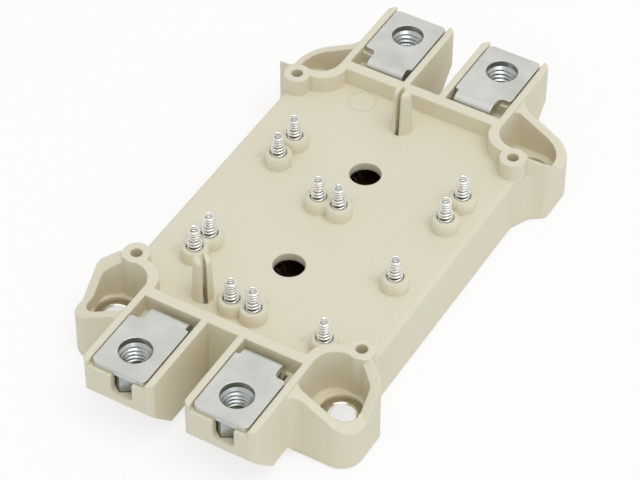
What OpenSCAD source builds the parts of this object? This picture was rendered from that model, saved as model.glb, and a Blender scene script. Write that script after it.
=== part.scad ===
/* [Overall] */
// Length over the two pairs of terminal blocks
module_len = 117; // [105:1:135]
// Width over the two long side walls
body_w = 53; // [49:0.5:60]
// Height of the flat lid above the base
lid_z = 13; // [12:0.25:15]
// Height of the terminal faces, cross walls and board bosses
rim_z = 17; // [16.4:0.1:20]
// Step of the plastic's underside above the plane of the baseplate
stand_off = 0.4; // [0.1:0.05:0.6]

/* [Housing walls] */
// Thickness of the lid
lid_t = 3; // [2:0.1:4]
// Thickness of the long side walls
wall_t = 2.25; // [1.8:0.05:3]
// Rounding of the long edges of the lid
edge_r = 1; // [0.3:0.1:2]
// Thickness of the wall across each end of the lid
cross_wall_t = 2.4; // [1.6:0.1:3.2]
// Bore of the two filling holes in the lid
fill_hole_d = 6.5; // [4:0.1:8]
// Distance between the two filling holes
fill_hole_pitch = 29.6; // [24:0.1:34]

/* [Terminal blocks] */
// Length of a terminal block, from the cross wall to its front face
block_len = 19.7; // [18.5:0.1:23]
// Wall that flanks each terminal plate
block_wall = 1.4; // [1.2:0.05:2.2]
// Height of the flat underside of a block
block_under_z = 2.3; // [1.5:0.1:4]
// Lowest point of the front face of a block
block_front_z = 9.3; // [8:0.1:10.5]
// Chamfer of the upright corners of a block
block_chamfer = 1; // [0.4:0.1:1.5]
// Length of the foot of a block along the base
block_foot = 5.7; // [5:0.1:7]
// Width of the nut window in the front face
window_w = 4.4; // [3:0.1:6]
// Depth of the pocket behind a terminal plate
pocket_depth = 4; // [3:0.1:5]
// Length of the pocket behind a terminal plate
pocket_len = 5.1; // [4.2:0.1:6]

/* [Terminals] */
// Distance between the two terminals of one end
term_pitch = 22; // [20.5:0.1:23.5]
// Width of a terminal plate
term_w = 11.8; // [11:0.1:12.6]
// Thickness of the terminal strip
term_t = 1.4; // [0.8:0.05:2]
// Clearance hole for the terminal bolt
term_hole_d = 6.6; // [5:0.1:7.5]
// Distance of the bolt hole from the front face of the block
term_hole_back = 6.8; // [6.4:0.1:7.6]
// Step of the plate's front edge behind the face of the block
term_set_back = 0.7; // [0:0.1:1.5]
// Gap between a plate and the walls that flank it
plate_gap = 0.35; // [0.1:0.05:0.5]
// Rounding of the front corners of a plate
plate_corner_r = 1.1; // [0.4:0.1:1.6]
// Length of the notch beside the bend on the outer side
outer_notch = 4.4; // [3.5:0.1:4.8]
// Length of the notch beside the bend on the inner side
inner_notch = 2.7; // [2.2:0.1:3.4]
// Length of the foot that lies on its track
foot_len = 7.5; // [6:0.1:8.5]
// Width of the leg that goes down into the module
leg_w = 8.3; // [5:0.1:9]
// Shift of the leg towards the middle of the module
leg_shift = 0.85; // [0:0.05:1.2]
// Gap between the leg and the cross wall
leg_gap = 1.1; // [0.5:0.05:1.6]
// Outer radius of the two bends
bend_r = 2; // [2:0.1:3]

/* [Terminal nuts] */
// Width across the flats of the captive nut
nut_af = 10; // [8:0.1:10.4]
// Height of the captive nut
nut_h = 5; // [3:0.1:5.2]
// Bore of the nut, at the minor diameter of its thread
nut_bore = 5; // [4:0.05:5.4]
// Depth under the nut that the end of the bolt can use
bolt_room = 3; // [1:0.1:3.4]

/* [Ears] */
// Mounting hole centre, inboard of the end of the lid
mount_back = 1.1; // [0.5:0.1:1.8]
// Mounting hole centre, inside the face of the side wall
mount_in = 1.5; // [0.8:0.1:2.2]
// Reach of the ear past the hole, along the module
ear_reach_x = 7.7; // [7:0.1:9]
// Reach of the ear past the hole, across the module
ear_reach_y = 6.3; // [5.6:0.1:8]
// Wall round the well of an ear
ear_wall = 1.85; // [1.4:0.05:2.2]
// Outer corner radius of an ear
ear_corner_r = 4.4; // [3.5:0.1:5.5]
// Height of the well floor, where the screw head bears
well_floor_z = 7; // [6.6:0.1:8]
// Distance from the mounting hole to the well's wall along the lid
well_reach = 5.2; // [4.8:0.1:5.6]
// Depth of the shallow panel in the end face of an ear
panel_depth = 0.9; // [0.3:0.1:1.1]
// Fall of the rim away from the terminal block, per millimetre
rim_fall_y = 0.57; // [0.3:0.01:0.7]
// Fall of the rim away from the board boss, per millimetre
rim_fall_x = 0.95; // [0.5:0.01:1.1]

/* [Mounting sleeves] */
// Bore for the mounting screw
mount_bore = 5.5; // [4.5:0.1:6]
// Outer diameter of the metal sleeve
sleeve_od = 8.8; // [8:0.1:9.4]
// Length of the metal sleeve
sleeve_h = 6.4; // [5:0.1:6.6]

/* [Board bosses] */
// Boss centre, inboard of the mounting hole
boss_back = 7.6; // [7:0.1:8.2]
// Boss centre, inside the mounting hole across the module
boss_in = 0.2; // [0:0.1:1]
// Diameter of a boss
boss_d = 5.4; // [4.6:0.1:6]
// Pilot hole for the board screw
boss_hole_d = 2.4; // [1.6:0.1:3]
// Depth of the pilot hole
boss_hole_depth = 8; // [4:0.5:10]

/* [Contact springs] */
// Diameter of the tower round each spring
tower_d = 5.4; // [4.6:0.1:6]
// Height of the towers above the base
tower_z = 16; // [14.6:0.1:16.8]
// Bore that guides each spring
guide_d = 3.4; // [3.2:0.1:3.8]
// Wall of the guide tubes under the lid
guide_wall = 0.8; // [0.75:0.05:0.95]
// Lowest point of the guide tubes under the lid
guide_z = 6; // [5.8:0.1:8]
// Height of the free spring tips above the base
spring_tip_z = 20.5; // [19.5:0.1:24]
// Diameter of the spring wire
wire_d = 0.42; // [0.3:0.02:0.5]
// Mean coil diameter inside the tower
coil_d = 2.6; // [2.4:0.05:2.7]
// Mean coil diameter of the free end
neck_coil_d = 1.9; // [1.5:0.05:2.2]
// Height over the tower at which the free end begins
neck_up = 0.6; // [0.2:0.1:1.2]
// Distance of the end row of springs from the wall across the lid
end_row_in = 6.1; // [5.6:0.1:7]
// Distance of the side row of springs from the face of the side wall
side_row_in = 5.6; // [5.4:0.1:6.4]
// Distance of the outer springs from the legs of the terminals
leg_row_out = 2; // [1.8:0.1:3]

/* [Locating posts] */
// Height of the post tips above the base
post_z = 23.4; // [19:0.1:26]
// Diameter of a post at the lid
post_d = 4.4; // [3.4:0.1:5]
// Diameter of a post under its rounded tip
post_tip_d = 3.5; // [2.6:0.1:4]
// Width of the slot that splits a post
post_slot = 0.9; // [0.5:0.1:1.4]

/* [Inside] */
// Thickness of the baseplate
base_t = 3; // [2:0.1:3.2]
// Thickness of a ceramic substrate
ceramic_t = 0.7; // [0.4:0.05:0.9]
// Thickness of the copper tracks
track_t = 0.3; // [0.2:0.05:0.4]
// Gap between the two substrates
tile_gap = 1; // [0.6:0.1:2]
// Gap between a substrate and the end wall of the hollow
tile_end_gap = 2.9; // [2.6:0.1:4]
// Gap between a substrate and the side wall of the hollow
tile_side_gap = 0.4; // [0.2:0.05:1]
// Thickness of the chips
chip_t = 0.25; // [0.1:0.05:0.5]
// Side of a switch chip along the module
igbt_len = 10; // [6:0.5:11]
// Side of a diode chip along the module
diode_len = 8; // [4:0.5:9]
// Width of all chips across the module
chip_w = 7.4; // [5:0.1:8]

/* [Hidden] */
$fn = 48;
eps = 0.01;
seat_gap = 0.1;
// cutting blocks reach past the part by its whole length
reach = module_len;

// stations along the module
front_x = module_len / 2;
wall_out_x = front_x - block_len;
wall_in_x = wall_out_x - cross_wall_t;
foot_x = wall_out_x + block_foot;
mount_x = wall_out_x - mount_back;
ear_x = mount_x + ear_reach_x;
leg_x = wall_out_x + leg_gap;
hole_x = front_x - term_hole_back;
plate_x = front_x - term_set_back;

// stations across the module
side_y = body_w / 2;
mount_y = side_y - mount_in;
ear_y = mount_y + ear_reach_y;
term_y = term_pitch / 2;
plate_lo = term_y - term_w / 2;
plate_hi = term_y + term_w / 2;
seat_lo = plate_lo - plate_gap;
seat_hi = plate_hi + plate_gap;
block_lo = seat_lo - block_wall;
block_hi = seat_hi + block_wall;
leg_y = term_y - leg_shift;
leg_lo = leg_y - leg_w / 2;
leg_hi = leg_y + leg_w / 2;

// levels
seat_z = rim_z - term_t;
nut_z = seat_z - nut_h;
pocket_z = rim_z - pocket_depth;
cavity_z = lid_z - lid_t;
track_z = base_t + ceramic_t + track_t;
chip_z = track_z + chip_t;

// baseplate pocket, ledge and the solid corners round the sleeves
corner_r = sleeve_od / 2 + 1.6;
base_x = wall_in_x - 0.25;
base_y = side_y - wall_t;
ledge = 1.35;
hollow_x = base_x - ledge;
hollow_y = base_y - ledge;
well_floor_t = 1.2;
lower_z = well_floor_z - well_floor_t;
well_guard_r = ear_reach_x + 0.5;
leg_clear = 0.3;
bay_z = track_z - leg_clear - 0.1;

// well, lid-side wall and boss of an ear, in the quarter with positive x and y
boss_x = mount_x - boss_back;
boss_y = mount_y - boss_in;
boss_r = boss_d / 2;
well_x = ear_x - ear_wall;
well_y = ear_y - ear_wall;
well_back = mount_x - well_reach;
ear_back = well_back - ear_wall;
neck_r = 4.6;
ear_lo = block_hi - ear_wall;
flank_x = boss_x + boss_r + 0.8;
fall_y = block_hi - 1.2;

// substrates, and the chips shared out between the middle and the terminal's foot
tile_len = hollow_x - tile_end_gap - tile_gap / 2;
tile_w = 2 * (hollow_y - tile_side_gap);
foot_in_x = base_x - foot_len;
chip_gap = (foot_in_x - tile_gap / 2 - igbt_len - diode_len) / 3;
igbt_x = tile_gap / 2 + chip_gap + igbt_len / 2;
diode_x = igbt_x + igbt_len / 2 + chip_gap + diode_len / 2;

// springs: place on the lid, in rows at one end, one side and outside the legs
end_row = wall_in_x - end_row_in;
side_row = side_y - side_row_in;
leg_row = leg_hi + leg_row_out;
contact_at = [
    [8.8, leg_row + 0.2], [14.8, leg_row], [2, 3.3], [2, -1.3],
    [-22, leg_row + 0.5], [-17.4, leg_row], [-end_row, 3.4], [-end_row, -1.4],
    [-end_row, -leg_row - 0.6], [-9.6, 0.5 - side_row],
    [9.4, -side_row], [16.4, -side_row]
];
// board locating posts: place on the lid and direction of the slot
post_at = [[-boss_x, 9.9, 46], [boss_x, 0.3, 0]];

cream = [0.87, 0.84, 0.76];
tin = [0.80, 0.81, 0.80];
nickel = [0.72, 0.71, 0.68];
zinc = [0.66, 0.70, 0.74];
silver = [0.85, 0.86, 0.88];
copper = [0.76, 0.48, 0.30];
ceramic = [0.94, 0.94, 0.92];
silicon = [0.33, 0.34, 0.38];

// the four quarters: 1 and 2 at the direct-current end, 3 and 4 at the other
quarters = [[-1, 1], [-1, -1], [1, 1], [1, -1]];

module in_quarter(q) {
    mirror([q[0] < 0 ? 1 : 0, 0, 0]) mirror([0, q[1] < 0 ? 1 : 0, 0]) children();
}

module every_quarter() {
    for (q = quarters) in_quarter(q) children();
}

function unit2(v) = v / norm(v);

// points of an arc of radius r that rounds the corner b between a and c
function corner_arc(a, b, c, r, n) =
    let (u = unit2(a - b), w = unit2(c - b),
         half = acos(u * w) / 2,
         centre = b + unit2(u + w) * r / sin(half),
         p = b + u * r / tan(half) - centre,
         q = b + w * r / tan(half) - centre,
         from = atan2(p[1], p[0]),
         turn = (atan2(q[1], q[0]) - from + 540) % 360 - 180)
    [for (i = [0:n]) centre + r * [cos(from + turn * i / n), sin(from + turn * i / n)]];

// closed outline through corners [x, y, radius]
function rounded(corners, n = 8) =
    let (k = len(corners))
    [for (i = [0:k - 1])
        let (a = corners[(i + k - 1) % k], b = corners[i], c = corners[(i + 1) % k])
        each (b[2] > 0
            ? corner_arc([a[0], a[1]], [b[0], b[1]], [c[0], c[1]], b[2], n)
            : [[b[0], b[1]]])];

// body of the housing, a profile drawn along the module
module body_block() {
    rotate([90, 0, 90])
        translate([0, 0, -wall_out_x])
            linear_extrude(2 * wall_out_x)
                polygon(rounded([[-side_y, 0, 0], [side_y, 0, 0],
                                 [side_y, lid_z, edge_r], [-side_y, lid_z, edge_r]]));
}

module cross_wall() {
    sunk = 1;
    half = block_hi - sunk;
    translate([wall_in_x, -half, lid_z - sunk])
        cube([cross_wall_t, 2 * half, rim_z - lid_z + sunk]);
}

// one terminal block: side profile cut to its chamfered plan
module terminal_block() {
    foot_slope = 0.7;
    front_slope = 0.9;
    intersection() {
        translate([0, block_hi, 0])
            rotate([90, 0, 0])
                linear_extrude(block_hi - block_lo)
                    polygon(rounded([
                        [wall_in_x, 0, 0], [foot_x, 0, 0],
                        [foot_x + block_under_z * foot_slope, block_under_z, 0.6],
                        [front_x - (block_front_z - block_under_z) * front_slope,
                         block_under_z, 1],
                        [front_x, block_front_z, 0.8], [front_x, rim_z, 0],
                        [wall_in_x, rim_z, 0]], 5));
        linear_extrude(rim_z)
            polygon([[wall_in_x, block_lo], [front_x - block_chamfer, block_lo],
                     [front_x, block_lo + block_chamfer],
                     [front_x, block_hi - block_chamfer],
                     [front_x - block_chamfer, block_hi], [wall_in_x, block_hi]]);
    }
}

// plan of an ear, with its wall along the lid and its neck at the board boss
function ear_plan() = rounded([
    [ear_x, term_y, 0],
    [ear_x, ear_y, ear_corner_r],
    [flank_x, ear_y, 2],
    [boss_x + boss_r * 0.45, boss_y + boss_r * 1.1, 0],
    [boss_x, boss_y, 0],
    [ear_back, boss_y - boss_r * 0.85, 0],
    [ear_back, ear_lo, neck_r + ear_wall / 2],
    [wall_out_x + 1, ear_lo, 0],
    [wall_out_x + 1, term_y, 0]]);

// plan of the low flank that runs from an ear into the side wall
function flank_plan() = [
    [flank_x, base_y], [flank_x, ear_y - ear_wall * 0.65],
    [boss_x + boss_r * 0.4, boss_y + boss_r * 1.25],
    [boss_x - boss_r, side_y], [boss_x - boss_r, base_y]];

// plan of the open well in an ear
function well_plan() = rounded([
    [well_x, block_hi, 1.2],
    [well_x, well_y, ear_corner_r - ear_wall * 0.4],
    [flank_x + ear_wall * 0.65, well_y, 1.6],
    [well_back, boss_y + boss_r * 0.6, 0.6],
    [well_back, block_hi, neck_r]]);

// half space above a plane through the rim that falls along y, moved by dz
module above_fall(dz) {
    translate([0, fall_y, rim_z + dz])
        rotate([-atan(rim_fall_y), 0, 0])
            translate([0, -reach, 0]) cube(2 * reach);
}

// everything above the sloping rim, past the wall along the lid
module above_rim() {
    near_x = boss_x + 1;
    intersection() {
        above_fall(0);
        translate([near_x + 0.2, 0, rim_z])
            rotate([0, atan(rim_fall_x), 0])
                cube(reach);
        linear_extrude(2 * rim_z)
            polygon([[near_x, boss_y + boss_r * 1.1], [well_x, fall_y],
                     [reach, fall_y], [reach, reach], [near_x, reach]]);
    }
}

// shallow panel in the end face of an ear, open at the bottom
module end_panel() {
    brow = 1.2;
    face_x = ear_x - panel_depth;
    near_y = block_hi - block_wall;
    difference() {
        translate([0, 0, -1])
            linear_extrude(rim_z)
                polygon([[face_x, near_y], [ear_x + 1, near_y], [ear_x + 1, mount_y],
                         [ear_x, mount_y], [face_x, mount_y - mount_bore / 2]]);
        above_fall(-brow);
    }
}

module ear() {
    difference() {
        linear_extrude(rim_z) polygon(ear_plan());
        above_rim();
        end_panel();
    }
    linear_extrude(lid_z - edge_r / 2) polygon(flank_plan());
}

// board boss, from below the well floor up to the rim
module boss() {
    translate([boss_x, boss_y, lower_z]) cylinder(r = boss_r, h = rim_z - lower_z);
}

// the seat, nut pocket, window and leg slot cut into a terminal block
module terminal_cuts() {
    window_z = nut_z + 0.6 + window_w / 2;
    translate([wall_out_x, seat_lo, seat_z])
        cube([block_len + 1, seat_hi - seat_lo, term_t + 1]);
    translate([wall_out_x, seat_lo, pocket_z])
        cube([pocket_len, seat_hi - seat_lo, pocket_depth + 1]);
    translate([hole_x, term_y, nut_z])
        cylinder(d = (nut_af + 2 * seat_gap) / cos(30), h = nut_h + eps, $fn = 6);
    translate([hole_x, term_y, nut_z - bolt_room])
        cylinder(d = term_hole_d, h = bolt_room + eps);
    // window with a round foot in the front face
    translate([hole_x, term_y, window_z])
        rotate([0, 90, 0]) cylinder(d = window_w, h = block_len);
    translate([hole_x, term_y - window_w / 2, window_z])
        cube([block_len, window_w, seat_z - nut_z]);
    // slot and bay for the leg
    translate([leg_x - leg_clear, leg_lo - leg_clear, bay_z])
        cube([term_t + 2 * leg_clear, leg_w + 2 * leg_clear, pocket_z - bay_z + eps]);
    translate([hollow_x - 1, leg_lo - leg_clear, bay_z])
        cube([leg_x + term_t + leg_clear - hollow_x + 1, leg_w + 2 * leg_clear,
              cavity_z - bay_z]);
}

// outline of the baseplate opening, grown or shrunk by d
module base_outline(d) {
    difference() {
        square([2 * (base_x + d), 2 * (base_y + d)], center = true);
        for (q = quarters)
            translate([q[0] * mount_x, q[1] * mount_y]) circle(r = corner_r - d);
    }
}

// the hollow over the substrates
module cavity() {
    translate([0, 0, base_t - eps])
        linear_extrude(lower_z - base_t + 2 * eps)
            difference() {
                square([2 * hollow_x, 2 * hollow_y], center = true);
                for (q = quarters)
                    translate([q[0] * mount_x, q[1] * mount_y]) circle(r = corner_r + 0.2);
            }
    translate([0, 0, lower_z])
        linear_extrude(cavity_z - lower_z)
            difference() {
                square([2 * hollow_x, 2 * hollow_y], center = true);
                for (q = quarters)
                    translate([q[0] * mount_x, q[1] * mount_y]) circle(r = well_guard_r);
            }
}

// round tower with a bevelled rim, and its guide tube under the lid
module spring_tower() {
    bevel = 0.35;
    translate([0, 0, lid_z - 1])
        cylinder(d = tower_d, h = tower_z - lid_z + 1 - bevel);
    translate([0, 0, tower_z - bevel])
        cylinder(d1 = tower_d, d2 = tower_d - 2 * bevel, h = bevel);
    translate([0, 0, guide_z])
        cylinder(d = guide_d + 2 * guide_wall, h = cavity_z - guide_z + 1);
}

// split post with a tapered shank and a rounded tip
module locating_post() {
    tip = 1;
    rotate_extrude()
        polygon(concat(
            [[0, lid_z - 1], [post_d / 2, lid_z - 1], [post_d / 2, lid_z]],
            [for (a = [0:15:90])
                [post_tip_d / 2 - tip * (1 - cos(a)), post_z - tip * (1 - sin(a))]],
            [[0, post_z]]));
}

// slot that splits a post and runs on into the lid under it
module post_split(turn) {
    rotate([0, 0, turn])
        translate([-post_d / 2, -post_slot / 2, lid_z - lid_t / 2])
            cube([post_d, post_slot, post_z]);
}

module housing() {
    color(cream)
        difference() {
            union() {
                difference() {
                    union() {
                        body_block();
                        every_quarter() ear();
                    }
                    every_quarter()
                        translate([0, 0, well_floor_z])
                            linear_extrude(rim_z) polygon(well_plan());
                    cavity();
                }
                every_quarter() {
                    boss();
                    terminal_block();
                }
                cross_wall();
                mirror([1, 0, 0]) cross_wall();
                for (p = contact_at) translate([p[0], p[1], 0]) spring_tower();
                for (p = post_at) translate([p[0], p[1], 0]) locating_post();
            }
            for (p = post_at) translate([p[0], p[1], 0]) post_split(p[2]);
            translate([0, 0, -1]) linear_extrude(base_t + 1) base_outline(0);
            translate([-reach, -reach, stand_off - reach]) cube([2 * reach, 2 * reach, reach]);
            every_quarter() {
                terminal_cuts();
                translate([mount_x, mount_y, -1])
                    cylinder(d = sleeve_od, h = well_floor_z + 2);
                translate([boss_x, boss_y, rim_z - boss_hole_depth])
                    cylinder(d = boss_hole_d, h = boss_hole_depth + 1);
            }
            for (p = contact_at)
                translate([p[0], p[1], guide_z - 1])
                    cylinder(d = guide_d, h = tower_z - guide_z + 2);
            for (s = [-1, 1])
                translate([s * fill_hole_pitch / 2, 0, cavity_z - 1])
                    cylinder(d = fill_hole_d, h = lid_t + 2);
        }
}

module baseplate() {
    color(nickel) linear_extrude(base_t) base_outline(-seat_gap);
}

// strip of sheet metal: bent side profile cut to its plan
module terminal() {
    foot_z = track_z;
    outer_x = leg_x + outer_notch;
    inner_x = leg_x + inner_notch;
    color(tin)
        difference() {
            intersection() {
                translate([0, plate_hi, 0])
                    rotate([90, 0, 0])
                        linear_extrude(term_w)
                            polygon(rounded([
                                [plate_x, rim_z, 0], [leg_x, rim_z, bend_r],
                                [leg_x, foot_z + term_t, bend_r - term_t],
                                [foot_in_x, foot_z + term_t, 0], [foot_in_x, foot_z, 0],
                                [leg_x + term_t, foot_z, bend_r],
                                [leg_x + term_t, seat_z, bend_r - term_t],
                                [plate_x, seat_z, 0]], 6));
                linear_extrude(rim_z + 1)
                    polygon(rounded([
                        [plate_x, plate_lo, plate_corner_r],
                        [plate_x, plate_hi, plate_corner_r],
                        [outer_x, plate_hi, 0.7], [outer_x, leg_hi, 1.2],
                        [foot_in_x - 1, leg_hi, 0], [foot_in_x - 1, leg_lo, 0],
                        [inner_x, leg_lo, 0.4], [inner_x, plate_lo, 0.4]], 6));
            }
            translate([hole_x, term_y, seat_z - 1])
                cylinder(d = term_hole_d, h = term_t + 2);
        }
}

// tube with its upper outer edge chamfered
module mounting_sleeve() {
    chamfer = 0.3;
    translate([mount_x, mount_y, 0])
        color(zinc)
            rotate_extrude()
                polygon([[mount_bore / 2, 0], [sleeve_od / 2, 0],
                         [sleeve_od / 2, sleeve_h - chamfer],
                         [sleeve_od / 2 - chamfer, sleeve_h],
                         [mount_bore / 2, sleeve_h]]);
}

// hexagon nut with its corners turned down at both faces
module terminal_nut() {
    corner_d = nut_af / cos(30);
    fall = (corner_d - nut_af) / 2 * tan(30);
    translate([hole_x, term_y, nut_z])
        color(zinc)
            difference() {
                intersection() {
                    cylinder(d = corner_d, h = nut_h, $fn = 6);
                    rotate_extrude()
                        polygon([[0, 0], [nut_af / 2, 0], [corner_d / 2, fall],
                                 [corner_d / 2, nut_h - fall], [nut_af / 2, nut_h],
                                 [0, nut_h]]);
                }
                translate([0, 0, -1]) cylinder(d = nut_bore, h = nut_h + 2);
            }
}

// contact spring: a closed foot, open coils, a step in and a fine free end
module contact_spring() {
    wire_r = wire_d / 2;
    sides = 4;
    per_turn = 8;
    turns = 12;
    wide_turns = 5.25;
    neck_turn = 6;
    flat = wire_r * cos(180 / sides);
    foot = track_z + flat;
    top = spring_tip_z - flat;
    neck_z = tower_z + neck_up;
    // height and coil radius against turns
    rise = [[0, foot], [1, foot + wire_d], [wide_turns, neck_z - 2 * wire_d],
            [neck_turn, neck_z], [turns - 1, top - wire_d], [turns, top]];
    swing = [[0, coil_d / 2], [wide_turns, coil_d / 2], [neck_turn, neck_coil_d / 2],
             [turns, neck_coil_d / 2]];
    rings = turns * per_turn;
    points = [for (i = [0:rings])
        let (turn = i / per_turn, r = lookup(turn, swing), z = lookup(turn, rise))
        for (s = [0:sides - 1])
            let (a = 360 * (s + 0.5) / sides, out = r + wire_r * cos(a))
            [out * cos(360 * turn), out * sin(360 * turn), z + wire_r * sin(a)]];
    skin = [for (i = [0:rings - 1]) for (s = [0:sides - 1])
        let (a = i * sides + s, b = i * sides + (s + 1) % sides)
        each [[a, b, a + sides], [b, b + sides, a + sides]]];
    ends = [[for (s = [sides - 1:-1:0]) s], [for (s = [0:sides - 1]) rings * sides + s]];
    color(silver) polyhedron(points, concat(skin, ends));
}

// substrates lie either side of the middle of the baseplate
module at_tile(side) {
    translate([side * (tile_gap + tile_len) / 2, 0, base_t]) children();
}

module substrate(side) {
    color(ceramic)
        at_tile(side)
            translate([-tile_len / 2, -tile_w / 2, 0]) cube([tile_len, tile_w, ceramic_t]);
}

// five copper bands: two under the legs, one between them, one at each edge
module copper_tracks(side) {
    margin = 0.3;
    gap = 0.5;
    under_lo = leg_lo - 0.25;
    under_hi = leg_hi + 0.25;
    bands = [[-tile_w / 2 + margin, -under_hi - gap],
             [-under_hi, -under_lo],
             [-under_lo + gap, under_lo - gap],
             [under_lo, under_hi],
             [under_hi + gap, tile_w / 2 - margin]];
    color(copper)
        at_tile(side)
            for (b = bands)
                translate([-tile_len / 2 + margin, b[0], ceramic_t])
                    cube([tile_len - 2 * margin, b[1] - b[0], track_t]);
}

module chip(q, x, size) {
    color(silicon)
        translate([q[0] * x - size / 2, q[1] * leg_y - chip_w / 2, track_z])
            cube([size, chip_w, chip_t]);
}

// wire arc from a chip down to the middle track
module bond_wire() {
    wire_r = 0.18;
    span = 3.2;
    translate([0, 0, chip_z]) {
        rotate([90, 0, 90]) rotate_extrude(angle = 180)
            translate([span / 2, 0]) circle(r = wire_r, $fn = 16);
        translate([0, -span / 2, -chip_t]) cylinder(r = wire_r, h = chip_t, $fn = 16);
    }
}

module bond_wires() {
    color(silver)
        for (q = quarters)
            in_quarter(q)
                for (x = [igbt_x, diode_x], k = [-1:1])
                    translate([x + k * 1.8, leg_lo, 0]) bond_wire();
}

module temperature_sensor() {
    size = [3.2, 1.6, 0.9];
    color(ceramic)
        translate([diode_x, leg_hi + 3.4, track_z]) translate([-size[0] / 2, -size[1] / 2, 0])
            cube(size);
}

housing();
baseplate();
in_quarter(quarters[0]) terminal();  // dc_plus_terminal
in_quarter(quarters[1]) terminal();  // dc_minus_terminal
in_quarter(quarters[2]) terminal();  // ac_terminal_1
in_quarter(quarters[3]) terminal();  // ac_terminal_2
for (i = [1:4]) {
    in_quarter(quarters[i - 1]) mounting_sleeve();
    in_quarter(quarters[i - 1]) terminal_nut();
    chip(quarters[i - 1], igbt_x, igbt_len);
    chip(quarters[i - 1], diode_x, diode_len);
}
for (i = [1:len(contact_at)])
    translate([contact_at[i - 1][0], contact_at[i - 1][1], 0]) contact_spring();
substrate(-1);  // substrate_1
substrate(1);  // substrate_2
copper_tracks(-1);  // copper_tracks_1
copper_tracks(1);  // copper_tracks_2
bond_wires();
temperature_sensor();
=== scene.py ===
import logging
import math
from dataclasses import dataclass, field
from enum import Enum
from typing import Callable, Sequence, Union

import bmesh
import bpy
from mathutils import Matrix, Vector


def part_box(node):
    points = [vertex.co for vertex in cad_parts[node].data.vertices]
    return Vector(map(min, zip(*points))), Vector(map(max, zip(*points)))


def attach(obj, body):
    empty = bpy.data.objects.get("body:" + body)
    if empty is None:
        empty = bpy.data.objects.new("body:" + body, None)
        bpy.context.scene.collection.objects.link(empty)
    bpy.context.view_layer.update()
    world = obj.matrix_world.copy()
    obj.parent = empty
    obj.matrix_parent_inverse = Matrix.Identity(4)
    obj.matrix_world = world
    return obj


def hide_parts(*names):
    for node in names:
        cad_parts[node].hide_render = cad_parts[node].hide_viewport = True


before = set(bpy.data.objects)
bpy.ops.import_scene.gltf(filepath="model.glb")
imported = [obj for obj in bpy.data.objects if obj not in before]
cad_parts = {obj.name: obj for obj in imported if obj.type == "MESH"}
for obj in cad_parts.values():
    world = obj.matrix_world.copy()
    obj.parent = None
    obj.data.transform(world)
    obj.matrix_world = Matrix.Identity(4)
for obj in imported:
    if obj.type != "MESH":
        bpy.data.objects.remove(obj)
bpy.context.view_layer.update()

MM = 0.001
LOG = logging.getLogger("module")

Colour = tuple[float, float, float]
Point = tuple[float, float, float]
Value = Union[bpy.types.NodeSocket, bpy.types.Material, float, int, tuple, None]


class Slot(Enum):
    """The finishes that the part's record names."""

    HOUSING = "housing"
    BASEPLATE = "baseplate"
    TERMINAL = "terminal"
    STEEL = "steel"
    SPRING = "spring"
    CERAMIC = "ceramic"
    COPPER = "copper"
    SILICON = "silicon"
    WIRE = "wire"


class Nodes:
    """Adds and joins the nodes of one shader or geometry tree."""

    def __init__(self, tree: bpy.types.NodeTree) -> None:
        """Keeps the tree that the nodes go into."""
        self.tree = tree

    def add(self, kind: str, **settings: object) -> bpy.types.Node:
        """Adds a node.

        Args:
            kind: Blender's name for the node.
            settings: properties of the node and their values.

        Returns:
            The new node.
        """
        node = self.tree.nodes.new(kind)
        for name, value in settings.items():
            setattr(node, name, value)
        return node

    def put(self, socket: bpy.types.NodeSocket, value: Value) -> None:
        """Joins an input to another node's output, or gives it a plain value.

        Args:
            socket: the input.
            value: the output or the plain value, or None to leave the input alone.
        """
        if isinstance(value, bpy.types.NodeSocket):
            self.tree.links.new(value, socket)
        elif value is not None:
            socket.default_value = value

    def fill(self, node: bpy.types.Node, **values: Value) -> bpy.types.Node:
        """Puts values into a node's inputs.

        Args:
            node: the node.
            values: input names, with _ for a blank, and their values.

        Returns:
            The same node.
        """
        for name, value in values.items():
            self.put(node.inputs[name.replace("_", " ")], value)
        return node

    def math(self, operation: str, *values: Value) -> bpy.types.NodeSocket:
        """Adds a sum of one to three values.

        Args:
            operation: Blender's name for the sum.
            values: the values it works on.

        Returns:
            The socket that holds the answer.
        """
        node = self.add("ShaderNodeMath", operation=operation)
        for socket, value in zip(node.inputs, values):
            self.put(socket, value)
        return node.outputs[0]

    def span(self, value: Value, low: Value, high: Value, start: Value = 0.0,
             end: Value = 1.0, smooth: bool = False) -> bpy.types.NodeSocket:
        """Maps a value from one range to another and holds it inside.

        Args:
            value: the value to map.
            low: value that gives start.
            high: value that gives end.
            start: answer at low.
            end: answer at high.
            smooth: eases the ends of the range.

        Returns:
            The socket that holds the mapped value.
        """
        node = self.add("ShaderNodeMapRange", clamp=True,
                        interpolation_type="SMOOTHSTEP" if smooth else "LINEAR")
        for name, given in (("Value", value), ("From Min", low), ("From Max", high),
                            ("To Min", start), ("To Max", end)):
            self.put(node.inputs[name], given)
        return node.outputs[0]

    def blend(self, factor: Value, first: Value, second: Value) -> bpy.types.NodeSocket:
        """Mixes two colours.

        Args:
            factor: share of the second colour, from 0 to 1.
            first: one colour.
            second: the other colour.

        Returns:
            The socket that holds the mixed colour.
        """
        node = self.add("ShaderNodeMix", data_type="RGBA")
        colours = [s for s in node.inputs if s.type == "RGBA"]
        self.put(node.inputs[0], factor)
        self.put(colours[0], first)
        self.put(colours[1], second)
        return [s for s in node.outputs if s.type == "RGBA"][0]


def rgba(colour: Colour) -> tuple[float, float, float, float]:
    """Gives a colour its full opacity."""
    return (*colour, 1.0)


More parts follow.
